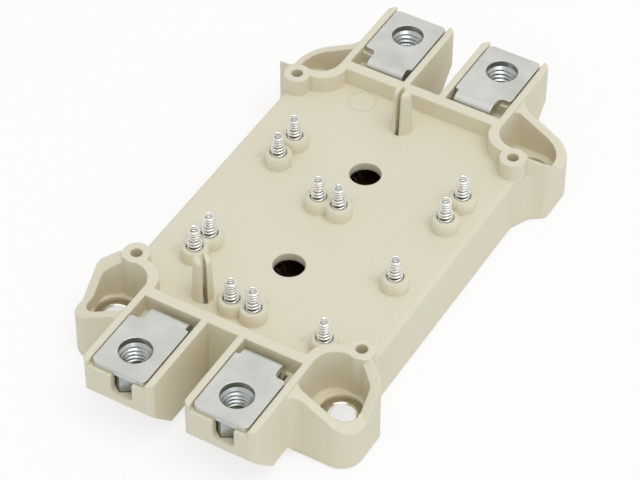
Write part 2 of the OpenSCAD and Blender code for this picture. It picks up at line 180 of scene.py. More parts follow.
class SharedEffects:
    """Shader node groups that several finishes use."""

    def __init__(self) -> None:
        """Builds each group once."""
        self.grain = self._grain()
        self.brushing = self._brushing()
        self.thin_edge = self._thin_edge()
        self.hollow = self._hollow()

    @staticmethod
    def _group(name: str, sizes: dict[str, float],
               results: Sequence[str]) -> tuple[Nodes, bpy.types.Node, bpy.types.Node]:
        """Starts a shader group.

        Args:
            name: the group's name.
            sizes: its inputs and what they are unless set.
            results: its outputs.

        Returns:
            The nodes' helper, the group's input node and its output node.
        """
        tree = bpy.data.node_groups.new(name, "ShaderNodeTree")
        for size, value in sizes.items():
            socket = tree.interface.new_socket(size, in_out="INPUT",
                                               socket_type="NodeSocketFloat")
            socket.default_value = value
        for result in results:
            tree.interface.new_socket(result, in_out="OUTPUT",
                                      socket_type="NodeSocketFloat")
        nodes = Nodes(tree)
        return nodes, nodes.add("NodeGroupInput"), nodes.add("NodeGroupOutput")

    def _grain(self) -> bpy.types.NodeTree:
        """Builds slow cloudy tone, fine grain and sparse specks.

        Returns:
            The group, with Tone, Grain and Speck outputs.
        """
        nodes, source, result = self._group(
            "cloud_and_grain", {"Cloud": 40.0, "Grain": 2600.0, "Speck": 700.0},
            ("Tone", "Grain", "Speck"))
        place = nodes.add("ShaderNodeTexCoord").outputs["Object"]
        cloud = nodes.fill(nodes.add("ShaderNodeTexNoise"), Vector=place, Detail=4.0,
                           Roughness=0.55, Scale=source.outputs["Cloud"])
        grain = nodes.fill(nodes.add("ShaderNodeTexNoise"), Vector=place, Detail=2.0,
                           Roughness=0.6, Scale=source.outputs["Grain"])
        speck = nodes.fill(nodes.add("ShaderNodeTexVoronoi"), Vector=place,
                           Scale=source.outputs["Speck"])
        nodes.fill(result, Tone=nodes.span(cloud.outputs[0], 0.3, 0.7),
                   Grain=grain.outputs[0],
                   Speck=nodes.span(speck.outputs["Distance"], 0.04, 0.16, 1.0, 0.0))
        return nodes.tree

    def _thin_edge(self) -> bpy.types.NodeTree:
        """Finds how near a point lies to an outer edge, where a painted highlight lightens
        the plastic.

        Returns:
            The group, with an Edge output.
        """
        nodes, source, result = self._group("thin_edge", {"Radius": 0.0006}, ("Edge",))
        soft = nodes.fill(nodes.add("ShaderNodeBevel", samples=6),
                          Radius=source.outputs["Radius"])
        flat = nodes.add("ShaderNodeNewGeometry").outputs["True Normal"]
        facing = nodes.add("ShaderNodeVectorMath", operation="DOT_PRODUCT")
        nodes.put(facing.inputs[0], soft.outputs[0])
        nodes.put(facing.inputs[1], flat)
        nodes.fill(result, Edge=nodes.span(facing.outputs["Value"], 0.8, 0.995, 1.0, 0.0))
        return nodes.tree

    def _hollow(self) -> bpy.types.NodeTree:
        """Finds how deep a point lies between walls, for painted bounce light that turns the
        plastic warmer there.

        Returns:
            The group, with a Depth output.
        """
        nodes, source, result = self._group("hollow", {"Reach": 0.012}, ("Depth",))
        near = nodes.fill(nodes.add("ShaderNodeAmbientOcclusion", samples=8),
                          Distance=source.outputs["Reach"])
        nodes.fill(result, Depth=nodes.span(near.outputs["AO"], 0.25, 0.95, 1.0, 0.0))
        return nodes.tree

    def _brushing(self) -> bpy.types.NodeTree:
        """Builds long fine streaks along one direction with broad patches over them.

        Returns:
            The group, with Streak and Patch outputs.
        """
        nodes, source, result = self._group(
            "brushing", {"Turn": 0.0, "Fineness": 3200.0, "Length": 0.04, "Patch": 160.0},
            ("Streak", "Patch"))
        place = nodes.add("ShaderNodeTexCoord").outputs["Object"]
        turn = nodes.fill(nodes.add("ShaderNodeCombineXYZ"), Z=source.outputs["Turn"])
        turned = nodes.fill(nodes.add("ShaderNodeMapping"), Vector=place,
                            Rotation=turn.outputs[0])
        stretch = nodes.fill(nodes.add("ShaderNodeCombineXYZ"),
                             X=source.outputs["Length"], Y=1.0, Z=0.3)
        drawn = nodes.add("ShaderNodeVectorMath", operation="MULTIPLY")
        nodes.put(drawn.inputs[0], turned.outputs[0])
        nodes.put(drawn.inputs[1], stretch.outputs[0])
        streak = nodes.fill(nodes.add("ShaderNodeTexNoise"), Vector=drawn.outputs[0],
                            Detail=3.0, Roughness=0.7, Scale=source.outputs["Fineness"])
        patch = nodes.fill(nodes.add("ShaderNodeTexNoise"), Vector=place, Detail=3.0,
                           Scale=source.outputs["Patch"])
        nodes.fill(result, Streak=streak.outputs[0],
                   Patch=nodes.span(patch.outputs[0], 0.32, 0.68))
        return nodes.tree


@dataclass(frozen=True)
class Finish:
    """What every finish has: a name, two tones, a gloss and softened edges."""

    name: str
    colour: Colour
    shade: Colour
    roughness: float
    edge: float = 0.3
    uneven: float = 0.08

    def start(self) -> tuple[bpy.types.Material, Nodes, bpy.types.Node]:
        """Makes an empty material.

        Returns:
            The material, the nodes' helper and its main shader.
        """
        material = bpy.data.materials.new(self.name)
        material.use_nodes = True
        material.diffuse_color = rgba(self.colour)
        material.node_tree.nodes.clear()
        nodes = Nodes(material.node_tree)
        shader = nodes.add("ShaderNodeBsdfPrincipled")
        result = nodes.add("ShaderNodeOutputMaterial")
        nodes.fill(result, Surface=shader.outputs[0])
        return material, nodes, shader

    def relief(self, nodes: Nodes, shader: bpy.types.Node, height: Value,
               depth: float) -> None:
        """Softens the edges and lays a fine relief over the surface.

        Args:
            nodes: the nodes' helper.
            shader: the main shader.
            height: the relief, from 0 to 1.
            depth: its full height in millimetres.
        """
        soft = nodes.fill(nodes.add("ShaderNodeBevel", samples=6), Radius=self.edge * MM)
        bump = nodes.fill(nodes.add("ShaderNodeBump"), Height=height,
                          Distance=depth * MM, Normal=soft.outputs[0])
        nodes.fill(shader, Normal=bump.outputs[0])

    def dull(self, nodes: Nodes, shader: bpy.types.Node, mask: Value, low: float,
             high: float) -> None:
        """Lets a mask vary the roughness evenly round its middle value.

        Args:
            nodes: the nodes' helper.
            shader: the main shader.
            mask: what it varies with.
            low: value of the mask that gives the least roughness.
            high: value of the mask that gives the most.
        """
        nodes.fill(shader, Roughness=nodes.span(
            mask, low, high, self.roughness - self.uneven, self.roughness + self.uneven))


@dataclass(frozen=True)
class MouldedPlastic(Finish):
    """Filled plastic with a dull eroded skin, painted highlights on its outer edges and
    painted warm bounce light in its hollows.
    """

    cloud: float = 34.0
    grain_depth: float = 0.03
    glow: float = 0.0
    # share of the painted highlight that lightens outer edges
    pale_edge: float = 0.0
    # share and tone of painted bounce light, a warmer tint laid into hollows
    warmth: float = 0.0
    depth_tone: Colour = (0.77, 0.7, 0.5)
    cloud_share: float = 0.5
    speck_share: float = 0.22
    speck_tone: float = 0.72
    # how much paler the painted edge highlight is than the cream
    edge_tone: float = 1.16
    scatter: Colour = (1.0, 0.66, 0.34)
    scatter_depth: float = 1.8
    gloss: float = 0.42

    def build(self, effects: SharedEffects) -> bpy.types.Material:
        """Builds the material.

        Args:
            effects: the shared groups.

        Returns:
            The material.
        """
        material, nodes, shader = self.start()
        group = nodes.fill(nodes.add("ShaderNodeGroup", node_tree=effects.grain),
                           Cloud=self.cloud)
        tone, grain, speck = group.outputs[:3]
        clouded = nodes.blend(nodes.math("MULTIPLY", tone, self.cloud_share),
                              rgba(self.colour), rgba(self.shade))
        dark = tuple(self.speck_tone * c for c in self.shade)
        flecked = nodes.blend(nodes.math("MULTIPLY", speck, self.speck_share),
                              clouded, rgba(dark))
        # painted bounce light: the cream turns warmer and more saturated where walls crowd
        # round
        deep = nodes.add("ShaderNodeGroup", node_tree=effects.hollow)
        flecked = nodes.blend(nodes.math("MULTIPLY", deep.outputs["Depth"], self.warmth),
                              flecked, rgba(self.depth_tone))
        # painted highlight: outer edges are lightened towards a paler tone of the cream
        rim = nodes.add("ShaderNodeGroup", node_tree=effects.thin_edge)
        pale = tuple(min(1.0, self.edge_tone * c) for c in self.colour)
        highlight_share = nodes.math("MULTIPLY", rim.outputs["Edge"], self.pale_edge)
        nodes.fill(shader, Base_Color=nodes.blend(highlight_share, flecked, rgba(pale)))
        shader.inputs["Subsurface Weight"].default_value = self.glow
        shader.inputs["Subsurface Radius"].default_value = self.scatter
        shader.inputs["Subsurface Scale"].default_value = self.scatter_depth * MM
        shader.inputs["Specular IOR Level"].default_value = self.gloss
        self.dull(nodes, shader, grain, 0.25, 0.75)
        self.relief(nodes, shader, grain, self.grain_depth)
        return material


@dataclass(frozen=True)
class PlatedMetal(Finish):
    """Metal with a plated skin and brushing or rolling marks."""

    turn: float = 0.0
    fineness: float = 3200.0
    length: float = 0.04
    streak_depth: float = 0.01
    patch_share: float = 0.6

    def build(self, effects: SharedEffects) -> bpy.types.Material:
        """Builds the material.

        Args:
            effects: the shared groups.

        Returns:
            The material.
        """
        material, nodes, shader = self.start()
        group = nodes.fill(nodes.add("ShaderNodeGroup", node_tree=effects.brushing),
                           Turn=math.radians(self.turn), Fineness=self.fineness,
                           Length=self.length)
        streak, patch = group.outputs[:2]
        both = nodes.math("ADD", nodes.math("MULTIPLY", patch, self.patch_share),
                          nodes.math("MULTIPLY", streak, 1.0 - self.patch_share))
        nodes.fill(shader, Base_Color=nodes.blend(both, rgba(self.colour), rgba(self.shade)))
        self.dull(nodes, shader, both, 0.2, 0.8)
        shader.inputs["Metallic"].default_value = 1.0
        self.relief(nodes, shader, streak, self.streak_depth)
        return material


@dataclass(frozen=True)
class ChipSurface(Finish):
    """Polished silicon under a lattice of metal pads."""

    lattice: float = 900.0
    cloud_share: float = 0.3
    pad_depth: float = 0.004

    def build(self, effects: SharedEffects) -> bpy.types.Material:
        """Builds the material.

        Args:
            effects: the shared groups.

        Returns:
            The material.
        """
        material, nodes, shader = self.start()
        place = nodes.add("ShaderNodeTexCoord").outputs["Object"]
        pads = nodes.fill(nodes.add("ShaderNodeTexBrick"), Vector=place,
                          Scale=self.lattice, Color1=rgba(self.colour),
                          Color2=rgba(self.colour), Mortar=rgba(self.shade))
        group = nodes.add("ShaderNodeGroup", node_tree=effects.grain)
        nodes.put(shader.inputs["Base Color"],
                  nodes.blend(nodes.math("MULTIPLY", group.outputs["Tone"], self.cloud_share),
                              pads.outputs["Color"], rgba(self.shade)))
        nodes.put(shader.inputs["Roughness"],
                  nodes.span(group.outputs["Tone"], 0.0, 1.0,
                             self.roughness, self.roughness + self.uneven))
        self.relief(nodes, shader, pads.outputs["Fac"], self.pad_depth)
        return material


CREAM = MouldedPlastic("cream_plastic", (0.73, 0.705, 0.59), (0.7, 0.665, 0.54),
                       0.52, edge=0.5, glow=0.25, pale_edge=0.8, warmth=0.6)
CREAM_MARK = MouldedPlastic("cream_plastic_marks", (0.73, 0.705, 0.59),
                            (0.69, 0.655, 0.53), 0.52, edge=0.02, glow=0.1)
# painted shade: the ceramic is made dark brown for the shade inside the closed housing
CERAMIC = MouldedPlastic("ceramic_under_gel", (0.36, 0.3, 0.25), (0.28, 0.23, 0.19),
                         0.6, edge=0.08, cloud=90.0, grain_depth=0.008)
TIN = PlatedMetal("tinned_copper_strip", (0.7, 0.705, 0.685), (0.5, 0.51, 0.5),
                  0.36, edge=0.22, turn=40.0, length=0.02)
NICKEL = PlatedMetal("nickel_plated_base", (0.6, 0.58, 0.54), (0.5, 0.48, 0.44),
                     0.34, edge=0.25, turn=0.0, length=0.01)
ZINC = PlatedMetal("zinc_plated_steel", (0.47, 0.5, 0.49), (0.34, 0.37, 0.38),
                   0.28, edge=0.12, turn=90.0, fineness=2600.0, length=0.3)
TUBE = PlatedMetal("turned_steel_tube", (0.52, 0.47, 0.38), (0.42, 0.37, 0.29),
                   0.33, edge=0.1, turn=0.0, fineness=2600.0, length=0.6)
BORE = PlatedMetal("polished_bore", (0.96, 0.95, 0.93), (0.88, 0.86, 0.83),
                   0.1, edge=0.05, uneven=0.04, turn=0.0, fineness=1800.0, length=0.6,
                   streak_depth=0.003)
SILVER = PlatedMetal("silver_plated_wire", (0.86, 0.86, 0.85), (0.72, 0.72, 0.7),
                     0.2, edge=0.03, turn=0.0, fineness=5200.0, length=0.5,
                     streak_depth=0.003)
COPPER = PlatedMetal("etched_copper", (0.42, 0.22, 0.14), (0.3, 0.15, 0.09),
                     0.5, edge=0.05, turn=25.0, length=0.2)
ALUMINIUM = PlatedMetal("drawn_aluminium_wire", (0.34, 0.3, 0.27), (0.26, 0.22, 0.2),
                        0.5, edge=0.03, turn=90.0, length=0.4)
SILICON = ChipSurface("chip_surface", (0.3, 0.31, 0.34), (0.12, 0.13, 0.16), 0.22,
                      edge=0.03)


class GeometryTree(Nodes):
    """A Geometry Nodes tree with named inputs for its sizes."""

    def __init__(self, name: str) -> None:
        """Starts a tree that takes and gives a geometry.

        Args:
            name: the tree's name.
        """
        super().__init__(bpy.data.node_groups.new(name, "GeometryNodeTree"))
        for side in ("INPUT", "OUTPUT"):
            self.tree.interface.new_socket("Geometry", in_out=side,
                                           socket_type="NodeSocketGeometry")
        self.source = self.add("NodeGroupInput")
        self.result = self.add("NodeGroupOutput")
        self.keys: dict[str, str] = {}

    def size(self, name: str, kind: str = "NodeSocketFloat") -> bpy.types.NodeSocket:
        """Adds a named input.

        Args:
            name: what the input is called.
            kind: its socket type.

        Returns:
            The socket that carries it inside the tree.
        """
        item = self.tree.interface.new_socket(name, in_out="INPUT", socket_type=kind)
        self.keys[name] = item.identifier
        return self.source.outputs[name]

    def spread(self, shape: bpy.types.NodeSocket, material: bpy.types.Material) -> None:
        """Sets the shape on every point and ends in real geometry with its material.

        Args:
            shape: the socket with the shape.
            material: its finish.
        """
        copies = self.fill(self.add("GeometryNodeInstanceOnPoints"), Instance=shape,
                           Points=self.source.outputs["Geometry"])
        real = self.fill(self.add("GeometryNodeRealizeInstances"), Geometry=copies.outputs[0])
        dressed = self.fill(self.add("GeometryNodeSetMaterial"), Geometry=real.outputs[0],
                            Material=material)
        self.fill(self.result, Geometry=dressed.outputs[0])

    def make(self, name: str, points: Sequence[Point],
             sizes: dict[str, object]) -> bpy.types.Object:
        """Runs the tree on a set of points and keeps the result as a plain mesh.

        Args:
            name: the new piece's name.
            points: places where the shape is repeated.
            sizes: the tree's inputs by name.

        Returns:
            The finished piece.
        """
        seed = bpy.data.meshes.new(name + "_points")
        seed.from_pydata([tuple(p) for p in points], [], [])
        piece = bpy.data.objects.new(name, seed)
        bpy.context.scene.collection.objects.link(piece)
        modifier = piece.modifiers.new("shape", "NODES")
        modifier.node_group = self.tree
        for size, value in sizes.items():
            modifier[self.keys[size]] = value
        evaluated = piece.evaluated_get(bpy.context.evaluated_depsgraph_get())
        mesh = bpy.data.meshes.new_from_object(evaluated)
        piece.modifiers.remove(modifier)
        piece.data = mesh
        mesh.name = name
        for polygon in mesh.polygons:
            polygon.use_smooth = True
        return piece


def dress(node: str, material: bpy.types.Material) -> None:
    """Gives a CAD node its finish.

    Args:
        node: the node's name.
        material: its finish.
    """
    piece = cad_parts[node]
    piece.data.materials.clear()
    piece.data.materials.append(material)
    LOG.info("%s dressed in %s", node, material.name)


def keep(piece: bpy.types.Object, slot: Slot, *nodes: str) -> None:
    """Fixes a new piece to the body and lets it stand for CAD nodes.

    Args:
        piece: the new piece.
        slot: the record's finish that it belongs to; not used.
        nodes: the CAD nodes that it stands for.
    """
    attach(piece, "root")
    if nodes:
        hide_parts(*nodes)
    LOG.info("%s made with %d faces", piece.name, len(piece.data.polygons))


def middle(node: str) -> Point:
    """Gives the middle of a CAD node's box, on its lower face."""
    low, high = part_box(node)
    return ((low[0] + high[0]) / 2, (low[1] + high[1]) / 2, low[2])


def ring(radius: float, z: float, steps: int) -> list[Point]:
    """Gives points evenly spaced on a level circle round the axis, from +X on."""
    turn = 2 * math.pi / steps
    return [(radius * math.cos(i * turn), radius * math.sin(i * turn), z)
            for i in range(steps)]


def quarter(step: int) -> list[float]:
    """Gives the angles of a quarter turn, in radians, every so many degrees."""
    return [math.radians(d) for d in range(0, 91, step)]


def add_rings(shape: bmesh.types.BMesh, rings: Sequence[Sequence[Point]],
              centre: Point = (0.0, 0.0, 0.0)) -> list[bmesh.types.BMFace]:
    """Joins rings of points, the last one to the first, into a closed tube.

    Args:
        shape: the mesh under work, in metres.
        rings: rings of points in millimetres, with as many points in each.
        centre: where their axis stands, in metres.

    Returns:
        The new faces, ring by ring.
    """
    points = [[shape.verts.new(Vector(p) * MM + Vector(centre)) for p in level]
              for level in rings]
    faces = []
    for k, here in enumerate(points):
        above = points[(k + 1) % len(points)]
        for i in range(len(here)):
            j = (i + 1) % len(here)
            faces.append(shape.faces.new((here[i], above[i], above[j], here[j])))
    return faces


def add_loft(shape: bmesh.types.BMesh, first: Sequence[Point],
             last: Sequence[Point]) -> None:
    """Adds a closed body between two outlines with as many points.

    Args:
        shape: the mesh under work, in metres.
        first: points of one end, in millimetres.
        last: points of the other end, in millimetres.
    """
    start = [shape.verts.new(Vector(p) * MM) for p in first]
    end = [shape.verts.new(Vector(p) * MM) for p in last]
    shape.faces.new(list(reversed(start)))
    shape.faces.new(end)
    for i in range(len(start)):
        j = (i + 1) % len(start)
        shape.faces.new((start[i], start[j], end[j], end[i]))


def add_prism(shape: bmesh.types.BMesh, outline: Sequence[Point], along: Point) -> None:
    """Adds a closed prism from an outline and the way along it, in millimetres."""
    add_loft(shape, outline, [tuple(Vector(p) + Vector(along)) for p in outline])


def link_mesh(name: str, shape: bmesh.types.BMesh) -> bpy.types.Object:
    """Turns the normals of a shape outwards and links it as a new object.

    Args:
        name: the object's name.
        shape: the mesh under work, which is freed.

    Returns:
        The new object.
    """
    bmesh.ops.recalc_face_normals(shape, faces=shape.faces)
    mesh = bpy.data.meshes.new(name)
    shape.to_mesh(mesh)
    shape.free()
    piece = bpy.data.objects.new(name, mesh)
    bpy.context.scene.collection.objects.link(piece)
    return piece


@dataclass
class Case:
    """The moulded housing with its baseplate."""

    finish: MouldedPlastic = CREAM
    base: PlatedMetal = NICKEL
    window_plus: float = 1.3
    window_minus: float = 3.4
    solid_plus: float = 2.4
    skin: float = 1.5
    window_foot: float = 11.2
    window_head: float = 16.0
    window_round: float = 1.0
    window_step: int = 15
    cut_reach: float = 2.0
    strip_lap: float = 0.2
    strip_foot: float = 0.4
    seat: float = 15.6
    set_back: float = 0.7
    ear_face: float = 45.42
    block_side: float = 18.65
    cheek_fillet: float = 2.6
    cheek_depth: float = 1.2
    cheek_lap: float = 0.1
    fillet_step: int = 10
    fillet_depth: float = 0.5
    fillet_lap: float = 0.2
    foot_rise: float = 0.95
    cheek_end: float = 25.6
    underside: float = 0.42
    rim: float = 17.02
    rim_fall: float = 0.57
    fall_from: float = 17.45
    lid_under: float = 10.0
    lid_edge: float = 11.1
    fill_pitch: float = 29.6
    recess_radius: float = 5.2
    recess_steps: int = 48
    recess_start: float = 0.5
    same_point: float = 1e-6

    def _window(self, shape: bmesh.types.BMesh, fills: bmesh.types.BMesh,
                terminal: str) -> None:
        """Adds the cutter that widens one nut window towards -Y and the fill on its +Y side.

        Args:
            shape: the mesh of all the cutters.
            fills: the mesh of all the fills.
            terminal: the terminal over the window.
        """
        low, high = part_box(terminal)
        across = (low[1] + high[1]) / 2 / MM
        side = 1 if low[0] > 0 else -1
        tip = max(abs(low[0]), abs(high[0])) / MM
        r = self.window_round
        plus, minus = across + self.window_plus, across - self.window_minus
        angles = quarter(self.window_step)
        foot = [(minus + r - r * math.cos(a), self.window_foot + r - r * math.sin(a))
                for a in angles]
        foot += [(plus - r + r * math.sin(a), self.window_foot + r - r * math.cos(a))
                 for a in angles]
        outline = [(minus, self.window_head)] + foot + [(plus, self.window_head)]
        add_prism(shape, [(side * (tip - self.cut_reach), y, z) for y, z in outline],
                  (side * 2 * self.cut_reach, 0.0, 0.0))
        inner, face = tip + self.set_back - self.skin, tip + self.set_back
        near, far = plus - self.strip_lap, across + self.solid_plus
        low_edge = self.window_foot - self.strip_foot
        strip = [(near, low_edge), (near, self.seat), (far, self.seat), (far, low_edge)]
        add_prism(fills, [(side * inner, y, z) for y, z in strip],
                  (side * (face - inner), 0.0, 0.0))

    def _under_rim(self, shape: bmesh.types.BMesh, end: int, side: int,
                   outline: Sequence[tuple[float, float]], rise: float) -> None:
        """Adds a body that stands on a slope and ends at the falling rim of an ear.

        Args:
            shape: the mesh that takes it.
            end: which end of the part, -1 or 1.
            side: which side of the part, -1 or 1.
            outline: its plan in the quarter with positive x and y.
            rise: how steeply its foot rises along the module.
        """
        start = min(u for u, v in outline)
        low = [(end * u, side * v, self.underside + rise * (u - start)) for u, v in outline]
        high = [(end * u, side * v, self.rim - self.rim_fall * (v - self.fall_from))
                for u, v in outline]
        add_loft(shape, low, high)

    def _ear_end(self, cheeks: bmesh.types.BMesh, fillets: bmesh.types.BMesh, end: int,
                 side: int) -> None:
        """Adds the flush cheek of one ear and its round inner corner to the terminal block.

        Args:
            cheeks: the mesh that takes the cheek.
            fillets: the mesh that takes the corner.
            end: which end of the part, -1 or 1.
            side: which side of the part, -1 or 1.
        """
        r, x, y = self.cheek_fillet, self.ear_face, self.block_side
        near, start = x - self.cheek_depth, y - self.cheek_lap
        self._under_rim(cheeks, end, side, [
            (near, start), (x, start), (x, self.cheek_end), (near, self.cheek_end)], 0.0)
        back, start = x - self.fillet_depth, y - self.fillet_lap
        arc = [(x + r - r * math.sin(a), y + r - r * math.cos(a))
               for a in quarter(self.fillet_step)]
        outline = [(back, start), (x + r, start)] + arc + [(back, y + r)]
        self._under_rim(fillets, end, side, outline, self.foot_rise)

    def _recess(self, shape: bmesh.types.BMesh, across: float) -> None:
        """Adds the cutter that thins the lid round one filling hole.

        Args:
            shape: the mesh of all the cutters.
            across: the hole's place along X, in millimetres.
        """
        foot = self.lid_under - self.recess_start
        outline = [(across + x, y, z)
                   for x, y, z in ring(self.recess_radius, foot, self.recess_steps)]
        add_prism(shape, outline,
                  (0.0, 0.0, self.lid_edge - self.lid_under + self.recess_start))

    def _moulding(self, cream: bpy.types.Material) -> None:
        """Makes the moulding that is seen, from the CAD solid and its last cuts.

        Args:
            cream: the plastic.
        """
        cuts, fills, fillets = bmesh.new(), bmesh.new(), bmesh.new()
        for terminal in Terminals.strips:
            self._window(cuts, fills, terminal)
        for side in (-1, 1):
            self._recess(cuts, side * self.fill_pitch / 2)
            for end in (-1, 1):
                self._ear_end(fills, fillets, end, side)
        tools = [("UNION", link_mesh("moulding_fills", fills)),
                 ("UNION", link_mesh("moulding_fillets", fillets)),
                 ("DIFFERENCE", link_mesh("moulding_cuts", cuts))]
        shape = bmesh.new()
        shape.from_mesh(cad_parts["housing"].data)
        bmesh.ops.remove_doubles(shape, verts=shape.verts, dist=self.same_point)
        piece = link_mesh("housing_moulding", shape)
        for operation, tool in tools:
            modifier = piece.modifiers.new(tool.name, "BOOLEAN")
            modifier.operation = operation
            modifier.solver = "EXACT"
            modifier.object = tool
        evaluated = piece.evaluated_get(bpy.context.evaluated_depsgraph_get())
        mesh = bpy.data.meshes.new_from_object(evaluated)
        piece.modifiers.clear()
        for _, tool in tools:
            bpy.data.objects.remove(tool)
        piece.data = mesh
        mesh.name = "housing_moulding"
        mesh.materials.clear()
        mesh.materials.append(cream)
        keep(piece, Slot.HOUSING, "housing")

    def build(self, effects: SharedEffects) -> None:
        """Makes the moulding and dresses the baseplate.

        Args:
            effects: the shared groups.
        """
        self._moulding(self.finish.build(effects))
        dress("baseplate", self.base.build(effects))


@dataclass
class LidMarks:
    """Faint raised numerals beside the springs and the ring of an ejector mark."""

    lid: float = 13.0
    height: float = 2.6
    raised: float = 0.08
    beside: float = 4.7
    outer_row: float = 15.5
    ring_at: tuple[float, float] = (33.2, 11.3)
    ring_radius: float = 2.8
    ring_width: float = 0.3
    ring_steps: int = 64
    same_point: float = 1e-7
    count: int = 12
    finish: MouldedPlastic = CREAM_MARK

    def _numeral(self, shape: bmesh.types.BMesh, number: int) -> None:
        """Adds one numeral beside its spring.

        Args:
            shape: the mesh under work.
            number: the spring's number.
        """
        text = bpy.data.curves.new(f"numeral_{number}", "FONT")
        text.body = str(number)
        text.size = self.height * MM
        text.extrude = self.raised * MM
        text.align_x = "CENTER"
        text.align_y = "CENTER"
        holder = bpy.data.objects.new(text.name, text)
        mesh = bpy.data.meshes.new_from_object(holder)
        bpy.data.objects.remove(holder)
        x, y, _ = middle(f"contact_spring_{number}")
        if abs(y) > self.outer_row * MM:
            y += self.beside * MM
        else:
            x += self.beside * MM
        mesh.transform(Matrix.Translation((x, y, self.lid * MM))
                       @ Matrix.Rotation(-math.pi / 2, 4, "Z"))
        shape.from_mesh(mesh)
        bpy.data.meshes.remove(mesh)

    def build(self, effects: SharedEffects) -> None:
        """Raises all the marks.

        Args:
            effects: the shared groups.
        """
        shape = bmesh.new()
        for number in range(1, self.count + 1):
            self._numeral(shape, number)
        inner = self.ring_radius - self.ring_width / 2
        outer = self.ring_radius + self.ring_width / 2
        low, high = self.lid - self.raised, self.lid + self.raised
        rings = [ring(r, z, self.ring_steps)
                 for r, z in ((inner, low), (outer, low), (outer, high), (inner, high))]
        add_rings(shape, rings, (self.ring_at[0] * MM, self.ring_at[1] * MM, 0.0))
        bmesh.ops.remove_doubles(shape, verts=shape.verts, dist=self.same_point)
        piece = link_mesh("lid_marks", shape)
        piece.data.materials.append(self.finish.build(effects))
        keep(piece, Slot.HOUSING)


@dataclass
class Terminals:
    """The four terminal strips."""

    finish: PlatedMetal = TIN
    strips: tuple[str, ...] = ("dc_plus_terminal", "dc_minus_terminal",
                               "ac_terminal_1", "ac_terminal_2")

    def build(self, effects: SharedEffects) -> None:
        """Dresses the strips.

        Args:
            effects: the shared groups.
        """
        tin = self.finish.build(effects)
        for strip in self.strips:
            dress(strip, tin)


@dataclass
class MountingSleeves:
    """Four turned tubes with broken edges and a polished bore."""

    bore: float = 5.5
    outside: float = 8.8
    height: float = 6.4
    chamfer: float = 0.3
    columns: int = 72
    polished_from: int = 5
    finish: PlatedMetal = TUBE
    polish: PlatedMetal = BORE

    def build(self, effects: SharedEffects) -> None:
        """Turns the four sleeves.

        Args:
            effects: the shared groups.
        """
        inner, outer, top = self.bore / 2, self.outside / 2, self.height
        cut = self.chamfer
        profile = [(inner + cut, 0.0), (outer - cut, 0.0), (outer, cut), (outer, top - cut),
                   (outer - cut, top), (inner + cut, top), (inner, top - cut), (inner, cut)]
        rings = [ring(r, z, self.columns) for r, z in profile]
        nodes = [f"mounting_sleeve_{i}" for i in range(1, 5)]
        shape = bmesh.new()
        for node in nodes:
            faces = add_rings(shape, rings, middle(node))
            # the rings of faces from this side of the profile on line the bore
            for face in faces[self.polished_from * self.columns:]:
                face.material_index = 1
        piece = link_mesh("mounting_sleeves", shape)
        piece.data.materials.append(self.finish.build(effects))
        piece.data.materials.append(self.polish.build(effects))
        keep(piece, Slot.STEEL, *nodes)


